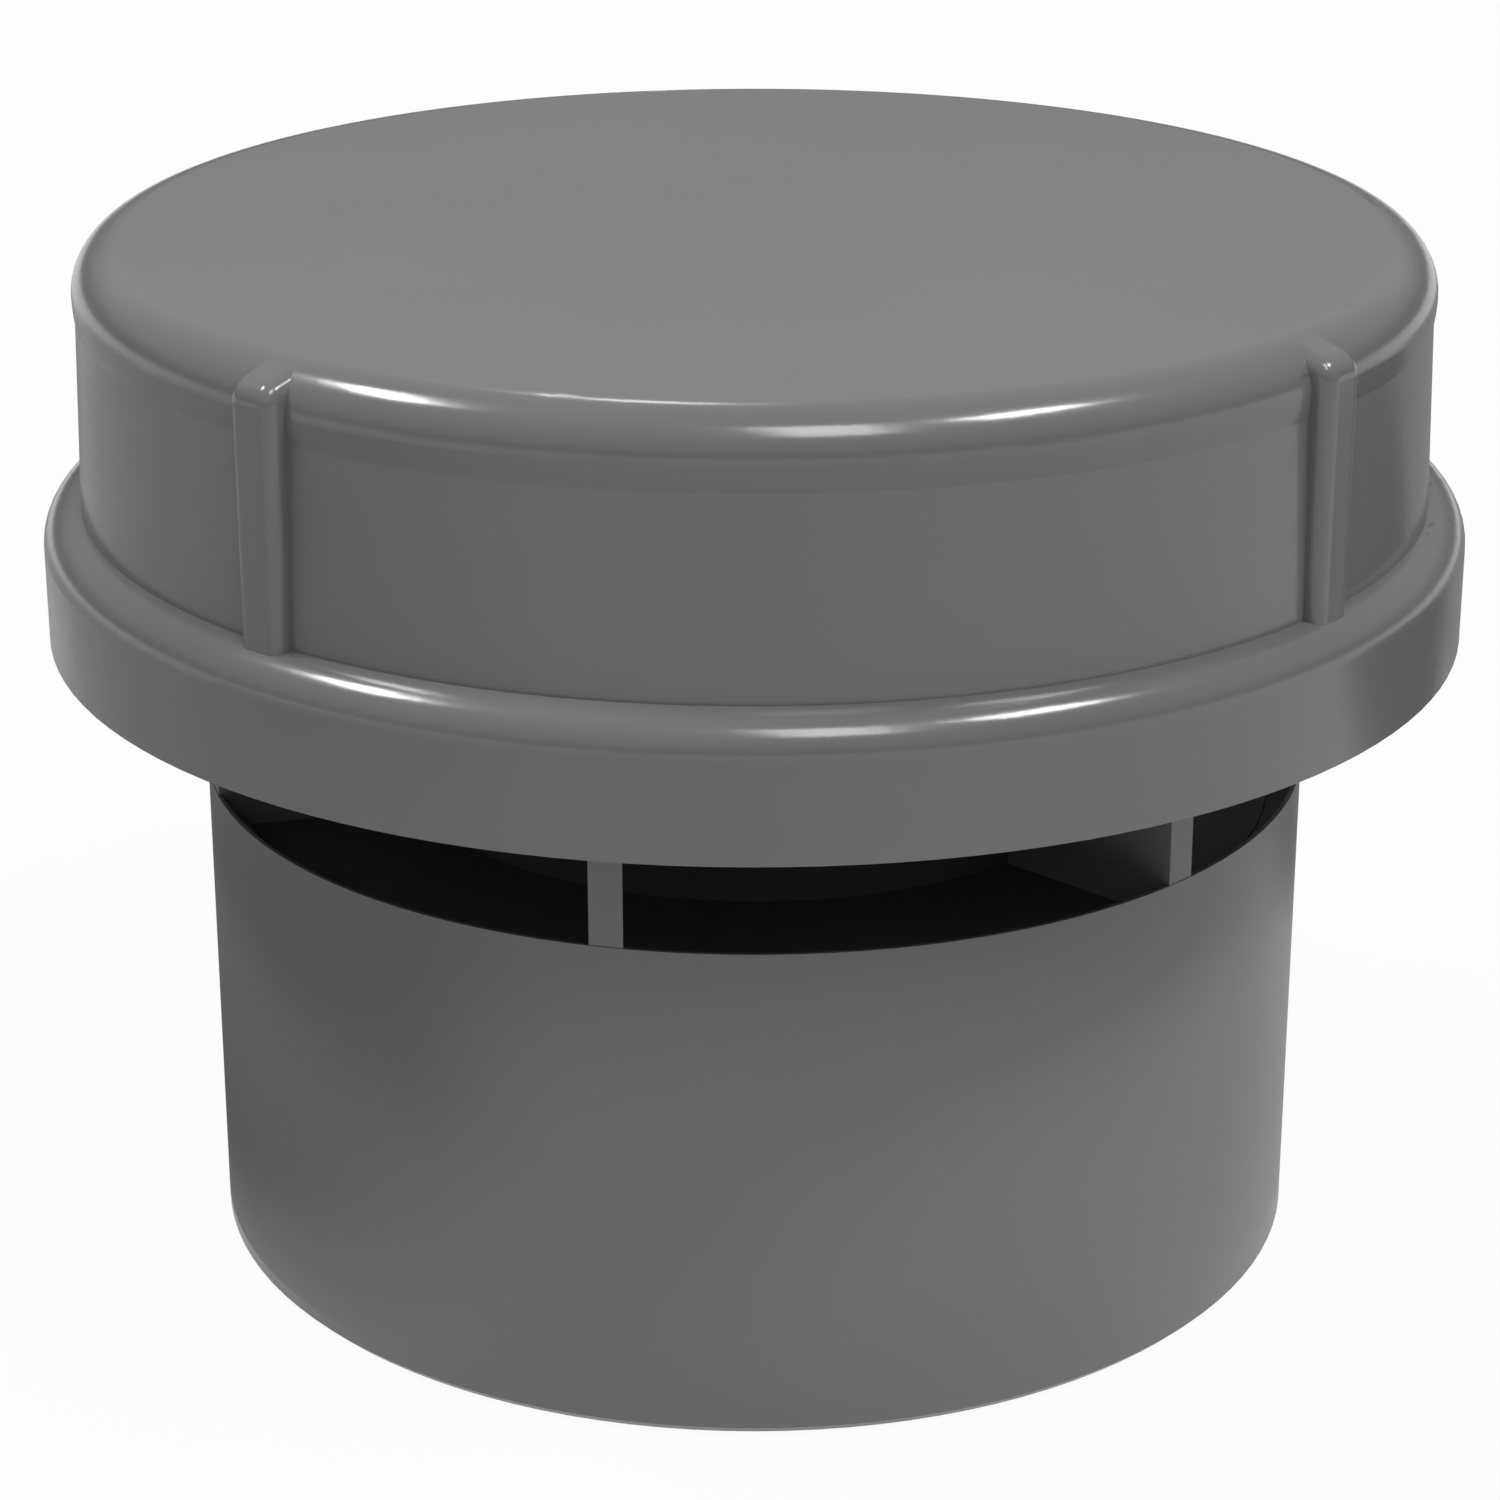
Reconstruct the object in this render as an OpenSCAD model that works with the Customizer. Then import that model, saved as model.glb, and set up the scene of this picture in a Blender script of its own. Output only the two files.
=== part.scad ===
// Air admittance valve for a 110 mm soil stack.
// Lengths are millimetres. Z = 0 is the end of the spigot, +Z is up, and the stack's axis is Z.
// Air enters through the windows under the cap and rises between two round seats. A flat
// diaphragm lies on both seats. Suction in the stack lifts it, and its own weight shuts it.

/* [Spigot] */
// Outside diameter of the spigot, the pipe size that it fits
pipe_d = 110; // [82:1:160]
// Wall of the spigot
spigot_wall = 3.2; // [2.4:0.1:4.6]
// Height of the window sill above the end of the spigot
sill_h = 49; // [35:1:80]
// Chamfer round the end of the spigot
end_chamfer = 0.8; // [0.3:0.1:1.6]
// Flat land at the outer edge of the window sill
sill_land = 0.4; // [0.3:0.1:1.2]
// How far the sill falls from its land to the bore
sill_drop = 3.4; // [1:0.1:4.4]

/* [Air windows] */
// Clear height of the windows, from the sill to the flange
window_h = 16; // [12:0.5:24]
// Number of posts between the windows, every second one with a web behind it
post_count = 6; // [4:2:8]
// Width of a post at its outer face, and of a web
post_w = 3.2; // [2:0.1:5]
// Width of a plain post at its inner edge
post_in_w = 1.4; // [1:0.1:2]
// How far the flat outer face of a post lies inside the spigot's outer face
post_set = 0.1; // [0.1:0.05:1]
// Angle of the first post round the Z axis
post_turn = -104; // [-180:1:180]
// Distance from the spigot's outer face in to the inner seat tube
inlet_w = 20; // [15:0.5:24]

/* [Flange and seats] */
// Thickness of the flange that carries the cap
flange_t = 3; // [2.4:0.1:5]
// How far the flange stands out from the spigot
flange_out = 11.2; // [9:0.2:16]
// Width of each flat seat
seat_w = 2; // [1.4:0.1:3]
// Height of the outer seat above the flange
seat_rise = 2; // [1:0.1:4]
// Distance from the spigot's outer face in to the outer seat's inner edge
outer_seat_in = 5; // [3.5:0.1:6]
// Height of the collar above the flange
collar_h = 4; // [2.5:0.1:5]
// Wall of the collar
collar_w = 3.3; // [2.4:0.1:4.5]

/* [Seat insert] */
// Wall of the inner seat tube
tube_wall = 2.5; // [1.8:0.1:3.5]
// Thickness of the floor of the air ring
floor_t = 2; // [1.6:0.1:4]
// Length of the skirt that is bonded in the spigot
skirt_len = 10; // [5:0.5:20]
// Wall of the skirt
skirt_wall = 2.3; // [1.6:0.1:4]
// Number of spokes that carry the guide
spider_count = 3; // [3:1:6]
// Thickness of a spoke
spider_w = 2.4; // [1.6:0.1:4]
// Height of a spoke
spider_h = 6; // [4:0.5:8]
// Length of the guide bush
guide_len = 10; // [8:0.5:11]

/* [Moving valve] */
// How far the valve lifts
lift = 8; // [4:0.5:11]
// Thickness of the diaphragm
diaphragm_t = 1.6; // [1:0.1:3]
// How far the diaphragm reaches past the outer seat
diaphragm_lap = 2; // [1:0.1:4]
// Thickness of the valve plate
plate_t = 2; // [1.4:0.1:3]
// Height of the plate's stiffening upstands
upstand_h = 2.4; // [1:0.1:4]
// Diameter of the guide stem
stem_d = 6; // [5:0.25:8]
// Number of spokes in the open centre of the plate
disc_spokes = 3; // [3:1:6]
// Thickness of a plate spoke
disc_spoke_w = 2.2; // [1.6:0.1:4]
// Thickness of the clamp ring under the diaphragm
clamp_t = 2; // [1.2:0.1:3]
// Width of the clamp ring
clamp_w = 3.7; // [2.6:0.1:6]

/* [Cover cap] */
// Height of the cap above its rim
cap_h = 25.4; // [24:0.1:45]
// Wall of the cap and its top
cap_wall = 3; // [2.2:0.1:4]
// Wall of the rim
rim_wall = 3.3; // [2.4:0.1:5]
// How far the rim stands out from the cap wall
rim_step = 3.75; // [3.4:0.05:6]
// Thickness of the rim's top over the collar
rim_top_t = 3.2; // [2.4:0.1:5]
// Radius of the rim's top corner
rim_round = 3.7; // [1:0.1:4]
// How far the rim hangs below the flange
rim_drop = 1.4; // [1.2:0.1:4]
// Radius of the crown's corner
crown_round = 4.5; // [4:0.1:8]
// How far the crown's bead stands out from the top of the wall
bead_out = 0.24; // [0.1:0.02:0.6]
// Height of the bead's lower, inward curve
bead_h = 2.4; // [1.5:0.1:4]
// Inward draft of the wall from the rim to the bead
wall_draft = 0.52; // [0.1:0.02:1]
// Number of outer ribs
rib_count = 4; // [3:1:8]
// Width of an outer rib
rib_w = 5.2; // [4:0.1:12]
// How far an outer rib stands out
rib_out = 1.55; // [1:0.05:2]
// Angle of the first outer rib round the Z axis
rib_turn = -130; // [-180:1:180]
// Radius of the rib's edges
rib_round = 1.4; // [0.4:0.1:1.6]
// Radius of the bend at a rib's head
head_round = 2.2; // [2:0.1:3]
// Fall of a rib's head from the crown outwards, in degrees
head_fall = 17; // [12:1:24]
// Number of stiffening ribs inside the top
top_ribs = 6; // [3:1:10]
// Depth of the stiffening ribs inside the top
top_rib_h = 4; // [2:0.5:8]
// Number of snap lugs under the flange
lug_count = 6; // [3:1:8]
// Arc of one snap lug in degrees
lug_arc = 24; // [10:1:36]

/* [Fits] */
// Thickness of the cap gasket
gasket_t = 1.5; // [1:0.1:3]
// Gap between bonded or pressed pieces
bond_gap = 0.1; // [0.05:0.01:0.2]
// Gap between the cap and the body
cap_gap = 0.2; // [0.1:0.05:0.4]
// Running gap round the guide stem
guide_gap = 0.25; // [0.15:0.05:0.5]

/* [Hidden] */
$fn = 128;

// Colours
body_grey = "#6e7071";
cap_grey = "#66686a";
insert_black = "#1c1c1e";
disc_black = "#343538";
rubber_black = "#121213";

// Radii from the spigot outwards and inwards
spigot_r = pipe_d / 2;
bore_r = spigot_r - spigot_wall;
flange_r = spigot_r + flange_out;
rim_in_r = flange_r + cap_gap;
rim_r = rim_in_r + rim_wall;
wall_r = rim_r - rim_step;
wall_top_r = wall_r - wall_draft;
crown_r = wall_top_r + bead_out;
tube_r = spigot_r - inlet_w;
duct_r = tube_r - tube_wall;
web_gap = 0.3;
web_in_r = tube_r + web_gap;
outer_seat_r = spigot_r - outer_seat_in;
skirt_r = bore_r - bond_gap;

// Levels from the spigot's end upwards
flange_z = sill_h + window_h;
deck_z = flange_z + flange_t;
seat_z = deck_z + seat_rise;
collar_z = deck_z + collar_h;
shoulder_z = collar_z + gasket_t;
rim_z = shoulder_z + rim_top_t;
rim_low_z = flange_z - rim_drop;
crown_z = rim_z + cap_h;
ceiling_z = crown_z - cap_wall;
floor_top_z = sill_h - sill_drop;
floor_z = floor_top_z - floor_t;
bead_z = crown_z - crown_round;

// Moving valve
stem_r = stem_d / 2;
guide_r = stem_r + guide_gap;
hub_wall = 2.75;
hub_r = guide_r + hub_wall;
plate_z = seat_z + diaphragm_t;
plate_top_z = plate_z + plate_t;
upstand_z = plate_top_z + upstand_h;
upstand_w = 1.8;
clamp_z = seat_z - clamp_t;
clamp_gap = 0.9;
clamp_r = duct_r - clamp_gap;
clamp_in_r = clamp_r - clamp_w;
neck_r = clamp_in_r - bond_gap;
neck_wall = 2;
neck_in_r = neck_r - neck_wall;
diaphragm_r = outer_seat_r + seat_w + diaphragm_lap;
plate_margin = 1;
plate_r = diaphragm_r - plate_margin;
hub_rise = 1.8;
hub_top_z = upstand_z + hub_rise;
stop_gap = 0.2;
sleeve_z = hub_top_z + lift + stop_gap;
tip_gap = 1.3;
stem_top_z = ceiling_z - lift - tip_gap;
tip_chamfer = 0.8;

// Guide bush of the insert, below the valve
guide_clear = 5;
guide_top_z = clamp_z - guide_clear;
guide_z = guide_top_z - guide_len;
stem_below = 6;
stem_low_z = guide_z - stem_below;
spider_z = guide_top_z - (guide_len + spider_h) / 2;

// Overlap of pieces of one moulding, so that they fuse
fuse = 0.8;

// A ring with a plain rectangular section
module ring(inner, outer, low, high) {
  rotate_extrude()
    translate([inner, low])
      square([outer - inner, high - low]);
}

// Section of a round block from the axis out, with its top corner rounded
module round_top_block(outer, low, high, corner) {
  translate([0, low])
    square([outer, high - low - corner]);
  translate([0, low])
    square([outer - corner, high - low]);
  translate([outer - corner, high - corner])
    circle(corner);
}

// Flat bars that point outwards from the axis
module spokes(count, width, inner, outer, low, high) {
  for (i = [0 : count - 1])
    rotate(360 * i / count)
      translate([inner, -width / 2, low])
        cube([outer - inner, width, high - low]);
}

// Spigot, window posts, flange, outer seat and collar, moulded in one
module spigot_body() {
  outer_seat_out = outer_seat_r + seat_w;
  collar_in_r = flange_r - collar_w;
  color(body_grey)
    difference() {
      rotate_extrude()
        polygon([
          [bore_r, 0],
          [spigot_r - end_chamfer, 0],
          [spigot_r, end_chamfer],
          [spigot_r, flange_z],
          [flange_r, flange_z],
          [flange_r, collar_z],
          [collar_in_r, collar_z],
          [collar_in_r, deck_z],
          [outer_seat_out, deck_z],
          [outer_seat_out, seat_z],
          [outer_seat_r, seat_z],
          [outer_seat_r, flange_z],
          [web_in_r, flange_z],
          [web_in_r, floor_top_z],
          [bore_r, floor_top_z]
        ]);
      windows();
    }
}

// Space of the windows: the inlet's ring over the bevelled sill, less the flat-faced posts and webs
module windows() {
  past = 2;
  difference() {
    rotate_extrude()
      polygon([
        [web_in_r - past, floor_top_z],
        [bore_r, floor_top_z],
        [spigot_r - sill_land, sill_h],
        [spigot_r + past, sill_h],
        [spigot_r + past, flange_z],
        [web_in_r - past, flange_z]
      ]);
    for (i = [0 : post_count - 1])
      rotate(post_turn + 360 * i / post_count)
        if (i % 2 == 0)
          post(bore_r, post_in_w, past);
        else
          post(web_in_r - 2 * past, post_w, past);
  }
}

// Bar of one post from an inner radius and width out, past the windows at both ends
module post(inner, inner_w, past) {
  face_r = spigot_r - post_set;
  translate([0, 0, floor_top_z - past])
    linear_extrude(flange_z - floor_top_z + 2 * past)
      polygon([
        [inner, -inner_w / 2],
        [face_r, -post_w / 2],
        [face_r, post_w / 2],
        [inner, inner_w / 2]
      ]);
}

// Bonded skirt, floor of the air ring, inner seat tube and the guide on its spokes
module seat_insert() {
  color(insert_black)
    difference() {
      union() {
        rotate_extrude()
          polygon([
            [duct_r, floor_z],
            [skirt_r - skirt_wall, floor_z],
            [skirt_r - skirt_wall, floor_z - skirt_len],
            [skirt_r, floor_z - skirt_len],
            [skirt_r, floor_top_z],
            [tube_r, floor_top_z],
            [tube_r, seat_z],
            [duct_r, seat_z]
          ]);
        rotate(post_turn)
          spokes(spider_count, spider_w, guide_r, duct_r + fuse, spider_z, spider_z + spider_h);
        translate([0, 0, guide_z])
          cylinder(h = guide_len, r = hub_r);
      }
      translate([0, 0, guide_z - 1])
        cylinder(h = guide_len + 2, r = guide_r);
    }
}

// Cap: rim, wall, crown and top as one shell, with ribs outside and a guide sleeve inside
module cover_cap() {
  color(cap_grey) {
    rotate_extrude()
      difference() {
        cap_outside();
        cap_inside();
      }
    for (i = [0 : rib_count - 1])
      rotate(rib_turn + 360 * i / rib_count)
        outer_rib();
    for (i = [0 : lug_count - 1])
      rotate(post_turn + 180 / post_count - lug_arc / 2 + 360 * i / lug_count)
        snap_lug();
    cap_guide();
  }
}

// Outer outline of the cap, from the axis out
module cap_outside() {
  bead_r = (bead_h * bead_h + bead_out * bead_out) / (2 * bead_out);
  round_top_block(rim_r, rim_low_z, rim_z, rim_round);
  polygon([
    [0, rim_z - fuse],
    [wall_r, rim_z - fuse],
    [wall_r, rim_z],
    [wall_top_r, bead_z - bead_h],
    [0, bead_z - bead_h]
  ]);
  translate([0, bead_z - bead_h])
    square([crown_r - crown_round, bead_h + crown_round]);
  translate([crown_r - crown_round, bead_z])
    circle(crown_round);
  intersection() {
    translate([crown_r - bead_r, bead_z])
      circle(bead_r);
    translate([crown_r - 2 * crown_round, bead_z - bead_h])
      square([2 * crown_round, bead_h]);
  }
}

// Hollow of the cap, from the axis out
module cap_inside() {
  inner_round = crown_round - cap_wall;
  below = 1;
  translate([0, rim_low_z - below])
    square([rim_in_r, shoulder_z - rim_low_z + below]);
  polygon([
    [0, shoulder_z - fuse],
    [wall_r - cap_wall, shoulder_z - fuse],
    [wall_r - cap_wall, rim_z],
    [wall_top_r - cap_wall, ceiling_z - inner_round],
    [0, ceiling_z - inner_round]
  ]);
  round_top_block(wall_top_r - cap_wall, ceiling_z - 2 * inner_round, ceiling_z, inner_round);
}

// Section of an outer rib: its outer face at 0, its root at -depth
module rib_section(depth) {
  intersection() {
    translate([-depth, -rib_w / 2])
      square([depth, rib_w]);
    union() {
      translate([-depth - rib_round, -rib_w / 2])
        square([depth, rib_w]);
      translate([-depth, rib_round - rib_w / 2])
        square([depth, rib_w - 2 * rib_round]);
      for (side = [-1, 1])
        translate([-rib_round, side * (rib_w / 2 - rib_round)])
          circle(rib_round);
    }
  }
}

// Outer rib: up the wall, round its head and in along a slope that ends in the crown
module outer_rib() {
  root = 1.2;
  foot = 1.6;
  run_out = 0.05;
  axis_gap = 0.05;
  rib_r = wall_r + rib_out;
  bend_r = rib_r - head_round;
  reach = bend_r - (crown_r - crown_round);
  rise = (crown_round - run_out - head_round - reach * sin(head_fall)) / cos(head_fall);
  bend_z = bead_z + rise;
  run_in = reach * cos(head_fall) - rise * sin(head_fall);
  translate([rib_r, 0, rim_z - foot])
    linear_extrude(bend_z - rim_z + foot)
      rib_section(rib_out + root);
  translate([bend_r, 0, bend_z]) {
    rotate([90, 0, 0])
      rotate_extrude(angle = 90 - head_fall)
        translate([head_round, 0])
          rib_section(head_round - axis_gap);
    rotate([0, head_fall - 90, 0])
      translate([head_round, 0, 0])
        linear_extrude(run_in)
          rib_section(head_round);
  }
}

// Snap lug inside the rim, with a lead-in below and a flat hook under the flange
module snap_lug() {
  hook = 1.2;
  hook_h = 0.5;
  hook_z = flange_z - cap_gap;
  lead_z = rim_low_z + cap_gap;
  rotate_extrude(angle = lug_arc)
    polygon([
      [rim_in_r + fuse, lead_z],
      [rim_in_r, lead_z],
      [rim_in_r - hook, hook_z - hook_h],
      [rim_in_r - hook, hook_z],
      [rim_in_r + fuse, hook_z]
    ]);
}

// Guide sleeve under the top, held by stiffening ribs that run out to the wall
module cap_guide() {
  top_rib_w = 2;
  ring(guide_r, hub_r, sleeve_z, ceiling_z + fuse);
  rotate(rib_turn)
    spokes(
      top_ribs, top_rib_w, hub_r - fuse, wall_top_r - cap_wall + fuse,
      ceiling_z - top_rib_h, ceiling_z + fuse
    );
}

// Rubber ring between the collar and the cap's shoulder
module cap_gasket() {
  color(rubber_black)
    ring(flange_r - collar_w + cap_gap, flange_r, collar_z, shoulder_z);
}

// Valve plate with upstands, an open spoked centre and the guide stem
module valve_disc() {
  spoke_z = seat_z - clamp_t / 2;
  color(disc_black) {
    rotate_extrude()
      polygon([
        [neck_in_r, clamp_z],
        [neck_r, clamp_z],
        [neck_r, plate_z],
        [plate_r, plate_z],
        [plate_r, upstand_z],
        [plate_r - upstand_w, upstand_z],
        [plate_r - upstand_w, plate_top_z],
        [neck_r, plate_top_z],
        [neck_r, upstand_z],
        [neck_in_r, upstand_z]
      ]);
    rotate(post_turn)
      spokes(disc_spokes, disc_spoke_w, stem_r, neck_in_r + fuse, spoke_z, upstand_z);
    translate([0, 0, clamp_z])
      cylinder(h = hub_top_z - clamp_z, r = hub_r);
    guide_stem();
  }
}

// Stem through the valve's hub, chamfered at both tips
module guide_stem() {
  rotate_extrude()
    polygon([
      [0, stem_low_z],
      [stem_r - tip_chamfer, stem_low_z],
      [stem_r, stem_low_z + tip_chamfer],
      [stem_r, stem_top_z - tip_chamfer],
      [stem_r - tip_chamfer, stem_top_z],
      [0, stem_top_z]
    ]);
}

// Flat rubber ring that shuts both seats
module diaphragm() {
  color(rubber_black)
    ring(clamp_in_r, diaphragm_r, seat_z, plate_z);
}

// Ring that holds the diaphragm's inner edge against the plate
module clamp_ring() {
  color(disc_black)
    ring(clamp_in_r, clamp_r, clamp_z, seat_z);
}

spigot_body();
seat_insert();
cover_cap();
cap_gasket();
valve_disc();
diaphragm();
clamp_ring();
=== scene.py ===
"""Looks of an air admittance valve: plastics and rubber on the CAD solids, studio light, camera."""
import math

import bpy
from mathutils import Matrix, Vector

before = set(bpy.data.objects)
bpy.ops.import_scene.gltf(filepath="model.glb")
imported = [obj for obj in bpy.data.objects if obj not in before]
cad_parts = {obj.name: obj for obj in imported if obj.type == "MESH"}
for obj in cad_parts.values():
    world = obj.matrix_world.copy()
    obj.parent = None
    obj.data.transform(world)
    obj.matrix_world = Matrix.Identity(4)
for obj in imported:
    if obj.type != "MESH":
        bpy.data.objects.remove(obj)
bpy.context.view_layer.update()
scene = bpy.context.scene

# Camera, fitted to the edges in the photograph (metres, degrees, pixels of the square image)
LOOK_AT = Vector((0, 0, 0.04732))
CAMERA_DISTANCE = 0.41678
CAMERA_ELEVATION = 21.1
CLIP_START = 0.01
IMAGE_PX = 1500
FOCAL_PX = 4101.96
CENTRE_X_PX = 754.57
SENSOR_MM = 36

# Lamps: azimuth from the camera's side round to the right, elevation, width, height,
# and the irradiance at the look-at point
LAMPS = {
    "lamp_left": (-101, 56, 0.72, 0.33, 1.46),
    "lamp_front": (16, 57, 0.62, 0.95, 1.02),
    "lamp_right": (67.5, 58.5, 0.70, 0.38, 1.42),
    "lamp_back": (-174.6, 45, 0.20, 0.45, 0.12),
}
LAMP_DISTANCE = 2.5

# Room: strength of walls and ceiling, and the sines of the elevations between which it changes
WALL_STRENGTH, CEILING_STRENGTH = 0.12, 0.45
WALL_TOP, CEILING_EDGE = 0.12, 0.30

# Floor: side, gap under the spigot, its colour, and how much of a white ground rays see on it
FLOOR_SIZE = 8.0
FLOOR_GAP = 0.0002
FLOOR_COLOUR = (0.50, 0.50, 0.50, 1)
FLOOR_WHITE_SHARE = 0.95
WHITE = (1, 1, 1, 1)

# Painted reflections: oval grey and black cards just over the floor, which only mirrored rays see,
# painting darker reflections of shadow and dim surroundings on the glossy edges: x, y, width,
# depth, turn, shade, and the share of the way in to the middle over which the edge fades
PAINTED_REFLECTION_CARDS = {
    "card_left": (-0.34, 0.06, 0.56, 0.90, 0, 0.32, 0.50),
    "card_left_near": (-0.105, 0.02, 0.15, 0.30, 0, 0.13, 0.40),
    "card_back": (0.09, 0.30, 0.72, 0.48, 0, 0.22, 0.30),
    "card_right_near": (0.105, 0.015, 0.14, 0.22, 0, 0.75, 0.50),
    "card_right_side": (0.110, 0.075, 0.10, 0.07, 20, 0.20, 0.50),
    "card_right": (0.285, 0.108, 0.34, 0.19, 24, 0.05, 0.25),
}
CARD_STEP = 0.001

# Materials: colour, its drift to either side, roughness, grains to the metre, depth of the grain
MATERIALS = {
    "cap_plastic": ((0.124, 0.128, 0.127), 0.03, 0.18, 900, 0.00001),
    "body_plastic": ((0.149, 0.152, 0.149), 0.04, 0.38, 1400, 0.00002),
    "insert_plastic": ((0.060, 0.060, 0.068), 0.10, 0.45, 1400, 0.00002),
    "valve_plastic": ((0.035, 0.036, 0.038), 0.08, 0.40, 1400, 0.00002),
    "rubber": ((0.008, 0.008, 0.009), 0.15, 0.65, 2200, 0.00003),
}
NODE_MATERIALS = {
    "cover_cap": "cap_plastic",
    "spigot_body": "body_plastic",
    "seat_insert": "insert_plastic",
    "valve_disc": "valve_plastic",
    "clamp_ring": "valve_plastic",
    "diaphragm": "rubber",
    "cap_gasket": "rubber",
}

# Noise for the clouds of colour and gloss, the band of it that the colour spans, how far the
# gloss goes to either side, and noise for the grain
CLOUDS = {"Scale": 26.0, "Detail": 4.0, "Roughness": 0.55}
CLOUD_BAND = (0.3, 0.7)
GLOSS_DRIFT = 0.15
GRAIN = {"Detail": 2.0, "Roughness": 0.5}
REFRACTION = 1.5


def from_view(azimuth, elevation, distance):
    """Point at that distance from the look-at point, seen from the front at azimuth 0."""
    a, e = math.radians(azimuth), math.radians(elevation)
    return LOOK_AT + distance * Vector((
        math.sin(a) * math.cos(e), -math.cos(a) * math.cos(e), math.sin(e)))


def aim(obj, target):
    """Turns a camera or lamp so that it looks at the target."""
    obj.rotation_euler = (target - obj.location).to_track_quat("-Z", "Y").to_euler()


def add_camera():
    """Camera at the photograph's angle, with the small shift of its framing."""
    data = bpy.data.cameras.new("camera")
    data.sensor_width = SENSOR_MM
    data.lens = SENSOR_MM * FOCAL_PX / IMAGE_PX
    data.shift_x = (IMAGE_PX / 2 - CENTRE_X_PX) / IMAGE_PX
    data.clip_start = CLIP_START
    camera = bpy.data.objects.new("camera", data)
    camera.location = from_view(0, CAMERA_ELEVATION, CAMERA_DISTANCE)
    aim(camera, LOOK_AT)
    scene.collection.objects.link(camera)
    scene.camera = camera


def add_lamps():
    """Soft boxes round the object, all at the same distance."""
    for name, (azimuth, elevation, width, height, irradiance) in LAMPS.items():
        data = bpy.data.lights.new(name, "AREA")
        data.shape = "RECTANGLE"
        data.size, data.size_y = width, height
        data.energy = irradiance * math.pi * LAMP_DISTANCE ** 2
        lamp = bpy.data.objects.new(name, data)
        lamp.location = from_view(azimuth, elevation, LAMP_DISTANCE)
        aim(lamp, LOOK_AT)
        scene.collection.objects.link(lamp)


class Nodes:
    """Short form for building one node tree."""

    def __init__(self, tree):
        self.tree = tree
        tree.nodes.clear()

    def add(self, kind, **settings):
        """New node, with its sockets or settings given by name."""
        node = self.tree.nodes.new(kind)
        for key, value in settings.items():
            if key in node.inputs:
                node.inputs[key].default_value = value
            else:
                setattr(node, key, value)
        return node

    def link(self, output, target):
        """Joins an output to an input."""
        self.tree.links.new(output, target)

    def remap(self, value, before=(0, 1), after=(0, 1)):
        """The value, with the first span taken to the second."""
        node = self.add("ShaderNodeMapRange")
        for name, number in zip(("From Min", "From Max", "To Min", "To Max"), (*before, *after)):
            node.inputs[name].default_value = number
        self.link(value, node.inputs["Value"])
        return node.outputs[0]

    def mix(self, share, first, second):
        """Shader that goes from the first to the second as the share goes from 0 to 1."""
        node = self.add("ShaderNodeMixShader")
        self.link(share, node.inputs["Fac"])
        self.link(first.outputs[0], node.inputs[1])
        self.link(second.outputs[0], node.inputs[2])
        return node

    def show(self, shader, output="ShaderNodeOutputMaterial"):
        """Makes the shader the one that the tree puts out."""
        self.link(shader.outputs[0], self.add(output).inputs["Surface"])


def new_material(name):
    """Material with an empty node tree, and the short form for it."""
    material = bpy.data.materials.new(name)
    material.use_nodes = True
    return material, Nodes(material.node_tree)


def seen_directly(nodes):
    """1 for rays from the camera, or from a mirror or glass, and 0 for light that spreads."""
    path = nodes.add("ShaderNodeLightPath")
    first = nodes.add("ShaderNodeMath", operation="MAXIMUM")
    both = nodes.add("ShaderNodeMath", operation="MAXIMUM")
    nodes.link(path.outputs["Is Camera Ray"], first.inputs[0])
    nodes.link(path.outputs["Is Glossy Ray"], first.inputs[1])
    nodes.link(first.outputs[0], both.inputs[0])
    nodes.link(path.outputs["Is Transmission Ray"], both.inputs[1])
    return both.outputs[0]


def add_world():
    """A plain grey room whose ceiling is lighter than its walls."""
    world = bpy.data.worlds.new("studio")
    world.use_nodes = True
    scene.world = world
    nodes = Nodes(world.node_tree)
    place = nodes.add("ShaderNodeTexCoord")
    split = nodes.add("ShaderNodeSeparateXYZ")
    nodes.link(place.outputs["Generated"], split.inputs[0])
    strength = nodes.remap(
        split.outputs["Z"], (WALL_TOP, CEILING_EDGE), (WALL_STRENGTH, CEILING_STRENGTH))
    background = nodes.add("ShaderNodeBackground", Color=WHITE)
    nodes.link(strength, background.inputs["Strength"])
    nodes.show(background, "ShaderNodeOutputWorld")


def flat_square(name, half):
    """Mesh of one square about the origin, facing up."""
    mesh = bpy.data.meshes.new(name)
    corners = [(-half, -half, 0), (half, -half, 0), (half, half, 0), (-half, half, 0)]
    mesh.from_pydata(corners, [], [(0, 1, 2, 3)])
    return mesh


def add_floor():
    """Paper just under the spigot's end, clear from below so that the underside can be seen."""
    mesh = flat_square("floor", FLOOR_SIZE / 2)
    floor = bpy.data.objects.new("floor", mesh)
    floor.location.z = -FLOOR_GAP
    scene.collection.objects.link(floor)
    material, nodes = new_material("floor_paper")
    matte_shader = nodes.add("ShaderNodeBsdfDiffuse", Color=FLOOR_COLOUR)
    white = nodes.add("ShaderNodeEmission", Color=WHITE, Strength=1.0)
    share = nodes.add("ShaderNodeMath", operation="MULTIPLY")
    nodes.link(seen_directly(nodes), share.inputs[0])
    share.inputs[1].default_value = FLOOR_WHITE_SHARE
    top = nodes.mix(share.outputs[0], matte_shader, white)
    clear = nodes.add("ShaderNodeBsdfTransparent")
    side = nodes.add("ShaderNodeNewGeometry")
    nodes.show(nodes.mix(side.outputs["Backfacing"], top, clear))
    mesh.materials.append(material)


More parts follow.
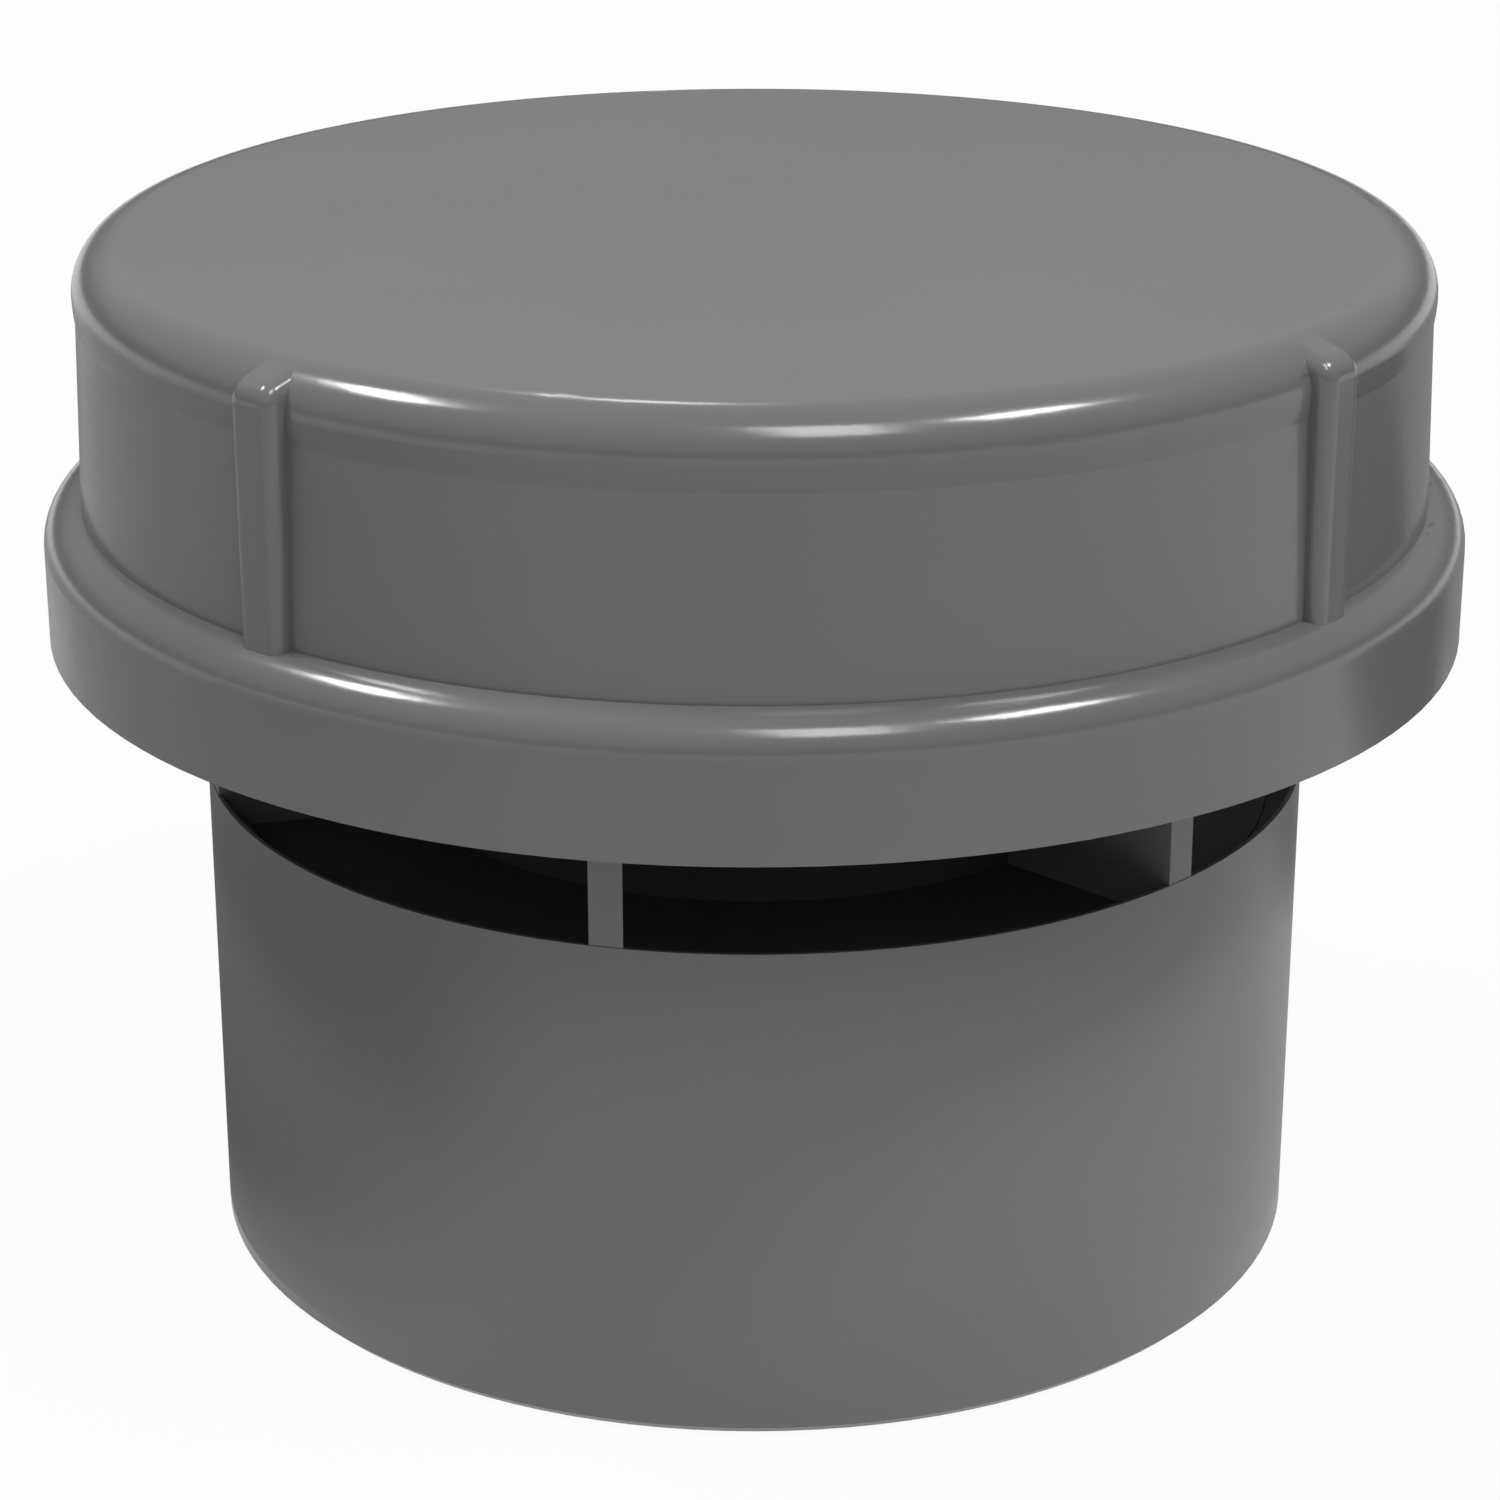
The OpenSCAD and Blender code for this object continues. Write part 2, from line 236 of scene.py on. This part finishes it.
def painted_reflection_material(name, shade, softness):
    """Painted reflection: a matte grey oval, which fades out towards the edge of its card."""
    material, nodes = new_material(name)
    place = nodes.add("ShaderNodeTexCoord")
    middle = nodes.add("ShaderNodeTexGradient", gradient_type="SPHERICAL")
    nodes.link(place.outputs["Object"], middle.inputs["Vector"])
    cover = nodes.remap(middle.outputs["Fac"], (0, softness))
    clear = nodes.add("ShaderNodeBsdfTransparent")
    matte_shader = nodes.add("ShaderNodeBsdfDiffuse", Color=(shade, shade, shade, 1))
    nodes.show(nodes.mix(cover, clear, matte_shader))
    return material


def add_painted_reflections():
    """Grey and black cards that paint darker reflections of shadow and dim surroundings on glossy
    edges.
    """
    for level, (name, settings) in enumerate(PAINTED_REFLECTION_CARDS.items(), start=1):
        x, y, width, depth, turn, shade, softness = settings
        mesh = flat_square(name, 1)
        mesh.materials.append(painted_reflection_material(name, shade, softness))
        card = bpy.data.objects.new(name, mesh)
        card.location = (x, y, level * CARD_STEP)
        card.rotation_euler = (0, 0, math.radians(turn))
        card.scale = (width / 2, depth / 2, 1)
        scene.collection.objects.link(card)
        # Painted reflection: these cards are hidden from the camera, from spread light and from
        # shadows, so they only darken what glossy surfaces mirror
        card.visible_camera = False
        card.visible_diffuse = False
        card.visible_shadow = False


def moulded(name, colour, drift, roughness, grains, grain_depth):
    """Moulded plastic or rubber: slow drift of colour and gloss, and a fine surface grain."""
    material, nodes = new_material(name)
    place = nodes.add("ShaderNodeTexCoord")
    cloud = nodes.add("ShaderNodeTexNoise", **CLOUDS)
    nodes.link(place.outputs["Object"], cloud.inputs["Vector"])
    tint = nodes.add("ShaderNodeValToRGB")
    low, high = tint.color_ramp.elements
    low.position, high.position = CLOUD_BAND
    low.color = (*[c * (1 - drift) for c in colour], 1)
    high.color = (*[c * (1 + drift) for c in colour], 1)
    nodes.link(cloud.outputs["Fac"], tint.inputs["Fac"])
    gloss_span = (roughness * (1 - GLOSS_DRIFT), roughness * (1 + GLOSS_DRIFT))
    gloss = nodes.remap(cloud.outputs["Fac"], after=gloss_span)
    fine = nodes.add("ShaderNodeTexNoise", Scale=grains, **GRAIN)
    nodes.link(place.outputs["Object"], fine.inputs["Vector"])
    bump = nodes.add("ShaderNodeBump", Strength=1.0, Distance=grain_depth)
    nodes.link(fine.outputs["Fac"], bump.inputs["Height"])
    shader = nodes.add("ShaderNodeBsdfPrincipled", IOR=REFRACTION)
    nodes.link(tint.outputs["Color"], shader.inputs["Base Color"])
    nodes.link(gloss, shader.inputs["Roughness"])
    nodes.link(bump.outputs["Normal"], shader.inputs["Normal"])
    nodes.show(shader)
    return material


def add_materials():
    """Gives every CAD node its material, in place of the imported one."""
    made = {name: moulded(name, *settings) for name, settings in MATERIALS.items()}
    for node, material in NODE_MATERIALS.items():
        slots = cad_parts[node].data.materials
        slots.clear()
        slots.append(made[material])


add_camera()
add_lamps()
add_world()
add_floor()
add_painted_reflections()
add_materials()
scene.view_settings.view_transform = "Standard"
